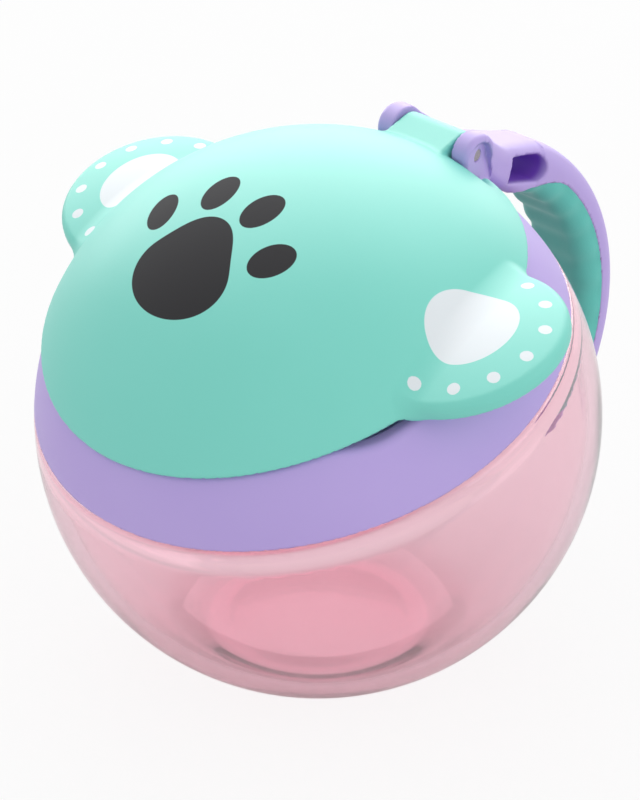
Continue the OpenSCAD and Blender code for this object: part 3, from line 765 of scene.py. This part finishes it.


# Lavender polypropylene: a satin moulded skin with faint grain and a slight inner glow. Painted
# shade turns it dark violet on the strap slot's near walls, where light bounces between them
lavender = bpy.data.materials.new("lavender_polypropylene_satin")
lavender.use_nodes = True
lavender.node_tree.nodes.clear()
place = add(lavender.node_tree, "ShaderNodeTexCoord")
grain = add(lavender.node_tree, "ShaderNodeTexNoise", {
    "Vector": place.outputs["Object"], "Scale": 3200.0, "Detail": 2.0})
cloud = add(lavender.node_tree, "ShaderNodeTexNoise", {
    "Vector": place.outputs["Object"], "Scale": 60.0})
shade = add(lavender.node_tree, "ShaderNodeMix", {0: cloud.outputs[0], 6: linear("#B7A2E0"),
                                                  7: linear("#BDAAE4")}, data_type="RGBA")
polish = add(lavender.node_tree, "ShaderNodeMapRange", {"Value": cloud.outputs[0], "To Min": 0.42,
                                                        "To Max": 0.50})
pores = add(lavender.node_tree, "ShaderNodeBump", {"Height": grain.outputs[0], "Strength": 0.08,
                                                   "Distance": 0.0001})
# Painted shade: the colour mixes to dark violet where the slot's walls are marked
hollow = add(lavender.node_tree, "ShaderNodeAttribute", attribute_name="slot_painted_shade")
painted_slot_shade = add(lavender.node_tree, "ShaderNodeMix", {0: hollow.outputs["Fac"], 6: shade.outputs[2],
                                                 7: linear("#8455C8")}, data_type="RGBA")
skin = add(lavender.node_tree, "ShaderNodeBsdfPrincipled", {
    "Base Color": painted_slot_shade.outputs[2], "Roughness": polish.outputs[0], "IOR": 1.49,
    "Specular IOR Level": 0.36, "Subsurface Weight": 0.15,
    "Subsurface Radius": (0.002, 0.0015, 0.002), "Normal": pores.outputs[0]})
add(lavender.node_tree, "ShaderNodeOutputMaterial", {"Surface": skin.outputs[0]})

collar = moulded("collar_shell", "collar", collar_field, 0.45, lavender)
across, at_y, at_z = vertices(collar.data)
# Painted shade: marks the strap slot's inner walls, where the collar's colour turns dark violet
near_wall = np.clip(1.4 - strap_slot(at_y, at_z) / 0.3, 0, 1)
inside_bar = np.clip((BAR_W / 2 - 0.4 - np.abs(across)) / 1.4, 0, 1)
mark(collar.data, "slot_painted_shade", near_wall * inside_bar)
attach(collar, "collar")

# ---- Handle grip: soft mint elastomer moulded over the bar --------------------------------------
# It covers the bend's inner side and stands a hair proud of the bar, and its inner face has soft
# waves across it that the fingers fall into. It is bonded in the mould, so no gap shows.
WAVE_COUNT = 10
WAVE_DEPTH = 0.64
WAVE_EASE = 0.8 * BAR_T / 2
GRIP_PROUD = 0.1
GRIP_EDGE = 0.7


def grip_field(x, y, z):
    """The grip's skin: broad hollows between narrow ridges, gone at the colour's edge."""
    z = z - ball_z
    depth, angle = around_bend(y, z)
    turns = (angle - GRIP_END) / (GRIP_TOP - GRIP_END) * WAVE_COUNT
    beat = 0.5 + 0.5 * np.cos(turns * 2 * math.pi)
    fade = np.clip(-depth / WAVE_EASE, 0, 1)
    waves = WAVE_DEPTH * (1 - beat) * fade * (1.5 - 0.9 * fade)
    skin_field = bend_field(x, y, z) + waves - GRIP_PROUD
    return common(skin_field, grip_region(x, y, z, -0.05), GRIP_EDGE)


# Soft-touch elastomer: a dull dry skin, with fine grain and a slightly uneven tone
touch = bpy.data.materials.new("mint_elastomer_soft_touch")
touch.use_nodes = True
touch.node_tree.nodes.clear()
place = add(touch.node_tree, "ShaderNodeTexCoord")
grain = add(touch.node_tree, "ShaderNodeTexNoise", {
    "Vector": place.outputs["Object"], "Scale": 2800.0, "Detail": 3.0})
cloud = add(touch.node_tree, "ShaderNodeTexNoise", {
    "Vector": place.outputs["Object"], "Scale": 110.0})
shade = add(touch.node_tree, "ShaderNodeMix", {0: cloud.outputs[0], 6: linear("#58BDB3"),
                                               7: linear("#66C8BD")}, data_type="RGBA")
pores = add(touch.node_tree, "ShaderNodeBump", {"Height": grain.outputs[0], "Strength": 0.3,
                                                "Distance": 0.0001})
skin = add(touch.node_tree, "ShaderNodeBsdfPrincipled", {
    "Base Color": shade.outputs[2], "Roughness": 0.62, "IOR": 1.46, "Sheen Weight": 0.15,
    "Sheen Roughness": 0.4, "Normal": pores.outputs[0]})
add(touch.node_tree, "ShaderNodeOutputMaterial", {"Surface": skin.outputs[0]})

grip = moulded("grip_sleeve", "handle_grip", grip_field, 0.32, touch)
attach(grip, "collar")

# ---- Hinge pin: a plain steel dowel -------------------------------------------------------------
# Drawn wire of 2 mm, cut square and pressed into the knuckles, so only its dull end shows.
steel = bpy.data.materials.new("drawn_steel_dull")
steel.use_nodes = True
steel.node_tree.nodes.clear()
place = add(steel.node_tree, "ShaderNodeTexCoord")
lines = add(steel.node_tree, "ShaderNodeMapping", {"Vector": place.outputs["Object"],
                                                   "Scale": (40.0, 4000.0, 4000.0)})
drawn = add(steel.node_tree, "ShaderNodeTexNoise", {"Vector": lines.outputs[0], "Scale": 1.0})
tone = add(steel.node_tree, "ShaderNodeMix", {0: drawn.outputs[0], 6: linear("#8A838C"),
                                              7: linear("#B5AFB6")}, data_type="RGBA")
polish = add(steel.node_tree, "ShaderNodeMapRange", {"Value": drawn.outputs[0], "To Min": 0.28,
                                                     "To Max": 0.45})
skin = add(steel.node_tree, "ShaderNodeBsdfPrincipled", {
    "Base Color": tone.outputs[2], "Metallic": 1.0, "Roughness": polish.outputs[0]})
add(steel.node_tree, "ShaderNodeOutputMaterial", {"Surface": skin.outputs[0]})
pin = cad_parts["hinge_pin"]
pin.data.materials.clear()
pin.data.materials.append(steel)

# ---- Cover: one moulding of mint polypropylene --------------------------------------------------
# A dome that stands a little proud of the ring, with two dished ear lobes run softly into it, a
# flat-topped tongue that turns on the pin, and a stiffening ring inside that keeps the well shut.
COVER_WALL = 2.0
INNER_R = COVER_R - COVER_WALL
SKIRT_R, SKIRT_WALL, SKIRT_GAP = 34.6, 1.4, 0.3
EAR_R, EAR_T, EAR_DISH_R = 16.0, 2.8, 45.0
EAR_X, EAR_Y, EAR_Z = 34.4, 5.5, 26.6
EAR_LEAN = math.radians(5)
EAR_GAP = 0.4
TONGUE_L, TONGUE_DIP = 8.0, 0.5
DOME_EDGE = 0.8
EAR_EDGE, EAR_FILLET = 1.1, 2.2
ear_rise = EAR_DISH_R - math.sqrt(EAR_DISH_R**2 - EAR_R**2)


def ear_frame(x, y, z):
    """Coordinates from the middle of the nearer ear, across it, along it and through it."""
    out, high = np.abs(x) - EAR_X, z - EAR_Z
    return (out * math.cos(EAR_LEAN) + high * math.sin(EAR_LEAN), y - EAR_Y,
            high * math.cos(EAR_LEAN) - out * math.sin(EAR_LEAN))


def cover_field(x, y, z):
    """The cover in the upright frame."""
    x, y, z = to_mouth(x, y, z - ball_z)
    rim = np.hypot(x, y)
    above = -below_rim(y, z, RIM_GAP)
    dome = common(ball(x, y, z, COVER_R), above, DOME_EDGE)
    ex, ey, ez = ear_frame(x, y, z)
    dish = np.abs(ball(ex, ey, ez - ear_rise + EAR_DISH_R, EAR_DISH_R)) - EAR_T / 2
    ear = common(dish, np.hypot(ex, ey) - EAR_R, EAR_EDGE)
    body = join(dome, ear, EAR_FILLET)
    slide = np.clip(y, HINGE_Y - TONGUE_L, HINGE_Y)
    tongue = common(np.hypot(y - slide, z - HINGE_Z) - KNUCKLE_R + TONGUE_DIP,
                    np.abs(x) - TONGUE_W / 2, 0.5)
    body = join(body, common(tongue, above, 0.3), 0.5)
    skirt = np.abs(rim - SKIRT_R + SKIRT_WALL / 2) - SKIRT_WALL / 2
    hollow = common(ball(x, y, z, INNER_R), join(-skirt, z - DECK_TOP - SKIRT_GAP), 0.4)
    body = cut(body, hollow, 0.4)
    ring_room = common(ball(x, y, z, ball_r + EAR_GAP), 0.1 - above)
    body = cut(body, ring_room)
    from_axis = np.hypot(y - HINGE_Y, z - HINGE_Z)
    knuckle_room = common(from_axis - KNUCKLE_R - 0.3, TONGUE_W / 2 - np.abs(x))
    body = cut(body, join(knuckle_room, knuckle_pad(x, y, z, 0.25)), 0.3)
    return cut(body, from_axis - PIN_R - 0.06)


# Mint polypropylene with a pad print: satin skin, faint grain, and thin flat ink, the dark one matt
mint = bpy.data.materials.new("mint_polypropylene_satin")
mint.use_nodes = True
mint.node_tree.nodes.clear()
place = add(mint.node_tree, "ShaderNodeTexCoord")
grain = add(mint.node_tree, "ShaderNodeTexNoise", {
    "Vector": place.outputs["Object"], "Scale": 3200.0, "Detail": 2.0})
cloud = add(mint.node_tree, "ShaderNodeTexNoise", {
    "Vector": place.outputs["Object"], "Scale": 50.0})
shade = add(mint.node_tree, "ShaderNodeMix", {0: cloud.outputs[0], 6: linear("#78D3C5"),
                                              7: linear("#7ED7CA")}, data_type="RGBA")
polish = add(mint.node_tree, "ShaderNodeMapRange", {"Value": cloud.outputs[0], "To Min": 0.42,
                                                    "To Max": 0.50})
pores = add(mint.node_tree, "ShaderNodeBump", {"Height": grain.outputs[0], "Strength": 0.08,
                                               "Distance": 0.0001})
inks = []
for name in ("dark_print", "white_print"):
    edge = add(mint.node_tree, "ShaderNodeAttribute", attribute_name=name)
    inks.append(add(mint.node_tree, "ShaderNodeMapRange", {"Value": edge.outputs["Fac"],
                                                           "From Min": 0.05, "From Max": -0.05}))
inked = add(mint.node_tree, "ShaderNodeMix", {0: inks[0].outputs[0], 6: shade.outputs[2],
                                              7: linear("#141318")}, data_type="RGBA")
inked = add(mint.node_tree, "ShaderNodeMix", {0: inks[1].outputs[0], 6: inked.outputs[2],
                                              7: linear("#DFE5E9")}, data_type="RGBA")
dull = add(mint.node_tree, "ShaderNodeMix", {0: inks[0].outputs[0], 2: polish.outputs[0], 3: 0.85})
skin = add(mint.node_tree, "ShaderNodeBsdfPrincipled", {
    "Base Color": inked.outputs[2], "Roughness": dull.outputs[0], "IOR": 1.49,
    "Subsurface Weight": 0.12, "Subsurface Radius": (0.0015, 0.002, 0.002),
    "Normal": pores.outputs[0]})
add(mint.node_tree, "ShaderNodeOutputMaterial", {"Surface": skin.outputs[0]})

cover = moulded("cover_shell", "cover", cover_field, 0.485, mint)
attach(cover, "cover")


def oval(a, b, at_a, at_b, half_a, half_b, slant=0.0):
    """Distance outside a slanted oval on the cover's surface, close to true near its edge."""
    a, b = a - at_a, b - at_b
    slant = math.radians(slant)
    a, b = a * math.cos(slant) + b * math.sin(slant), b * math.cos(slant) - a * math.sin(slant)
    reach = np.hypot(a / half_a, b / half_b)
    steep = np.hypot(a / half_a**2, b / half_b**2)
    return reach * (reach - 1) / np.maximum(steep, 1e-6)


# Each oval of the paw: its middle across and up the dome, half its width and height, and its slant
PAW_PALM, PAW_HEEL, PAW_BLEND = (0, -17.5, 9.2, 7.4), (0, -12.5, 5.6, 6.0), 3.0
PAW_TOES = ((-12.2, -8.6, 2.7, 4.0, 28), (-4.6, -2.2, 2.7, 4.0, 9),
            (4.6, -2.2, 2.7, 4.0, -9), (12.2, -8.6, 2.7, 4.0, -28))
EAR_DISC = (3.0, 0, 6.0, 7.6)
DOT_R, DOT_RING_R, DOT_STEP = 1.0, 13.0, 27
NO_INK = 9.0


def print_cover(mesh):
    """Marks where the ink lies: a paw on the dome, and a disc with a dotted border on each ear."""
    x, y, z = to_mouth(*vertices(mesh))
    outside = np.where(ball(x, y, z, COVER_R - 0.4) > 0, 0.0, NO_INK)
    bearing = np.arctan2(x, -y)
    reach = COVER_R * np.arctan2(np.hypot(x, y), z)
    a, b = reach * np.sin(bearing), -reach * np.cos(bearing)
    pad = soft_least(oval(a, b, *PAW_PALM), oval(a, b, *PAW_HEEL), PAW_BLEND)
    for toe in PAW_TOES:
        pad = np.minimum(pad, oval(a, b, *toe))
    ex, ey, ez = ear_frame(x, y, z)
    over_dish = ball(ex, ey, ez - ear_rise + EAR_DISH_R, EAR_DISH_R) > 0
    upper = np.where((ez > 0) & over_dish, 0.0, NO_INK)
    disc = oval(ex, ey, *EAR_DISC)
    for step in range(-3, 4):
        at = math.radians(DOT_STEP * step)
        off_x, off_y = ex - DOT_RING_R * math.cos(at), ey - DOT_RING_R * math.sin(at)
        disc = np.minimum(disc, np.hypot(off_x, off_y) - DOT_R)
    mark(mesh, "dark_print", pad + outside)
    mark(mesh, "white_print", disc + upper + outside)


print_cover(cover.data)
